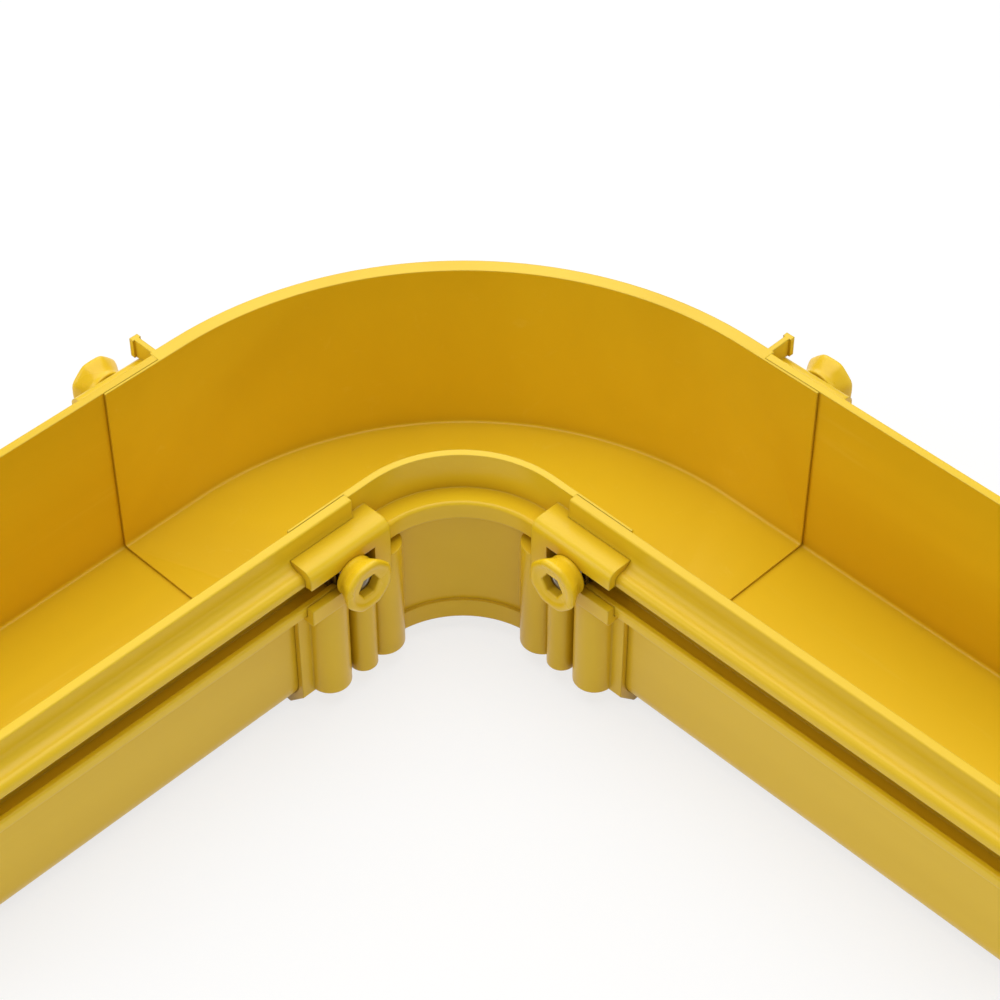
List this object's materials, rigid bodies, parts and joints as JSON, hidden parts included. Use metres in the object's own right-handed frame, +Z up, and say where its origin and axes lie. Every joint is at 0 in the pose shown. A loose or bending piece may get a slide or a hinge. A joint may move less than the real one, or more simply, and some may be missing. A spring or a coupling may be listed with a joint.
{
  "type": "fibre raceway elbow",
  "caption": "Open-top plastic raceway elbow that turns fibre cables through a right angle, clamped to straight slotted lengths by hand knobs.",
  "frame": {"origin": "on the flat underside, below the middle of the bend's centre line", "axes": "+Z up out of the open top; the right-hand straight length runs along -Y, the left-hand one along -X"},
  "size_m": [0.478, 0.478, 0.103],
  "materials": {
    "elbow_plastic": "satin moulded yellow plastic",
    "duct_plastic": "satin extruded yellow plastic",
    "knob_plastic": "glossy moulded yellow plastic",
    "fastener_steel": "bright zinc-plated steel"
  },
  "bodies": {
    "fitting": {"elbow_body": "elbow_plastic", "right_straight_duct": "duct_plastic", "left_straight_duct": "duct_plastic", "right_inner_slot_nut": "fastener_steel", "right_outer_slot_nut": "fastener_steel", "left_inner_slot_nut": "fastener_steel", "left_outer_slot_nut": "fastener_steel"},
    "right_inner_clamp": {"right_inner_knob": "knob_plastic", "right_inner_screw": "fastener_steel"},
    "right_outer_clamp": {"right_outer_knob": "knob_plastic", "right_outer_screw": "fastener_steel"},
    "left_inner_clamp": {"left_inner_knob": "knob_plastic", "left_inner_screw": "fastener_steel"},
    "left_outer_clamp": {"left_outer_knob": "knob_plastic", "left_outer_screw": "fastener_steel"}
  },
  "joints": [
    {"name": "right_inner_knob_turn", "type": "hinge", "parent": "fitting", "child": "right_inner_clamp", "pos_m": [-0.05032, -0.10832, 0.078], "axis": [-1, 0, 0], "range_deg": [0, 720]},
    {"name": "right_outer_knob_turn", "type": "hinge", "parent": "fitting", "child": "right_outer_clamp", "pos_m": [0.11768, -0.10832, 0.078], "axis": [1, 0, 0], "range_deg": [0, 720]},
    {"name": "left_inner_knob_turn", "type": "hinge", "parent": "fitting", "child": "left_inner_clamp", "pos_m": [-0.10832, -0.05032, 0.078], "axis": [0, -1, 0], "range_deg": [0, 720]},
    {"name": "left_outer_knob_turn", "type": "hinge", "parent": "fitting", "child": "left_outer_clamp", "pos_m": [-0.10832, 0.11768, 0.078], "axis": [0, 1, 0], "range_deg": [0, 720]}
  ]
}
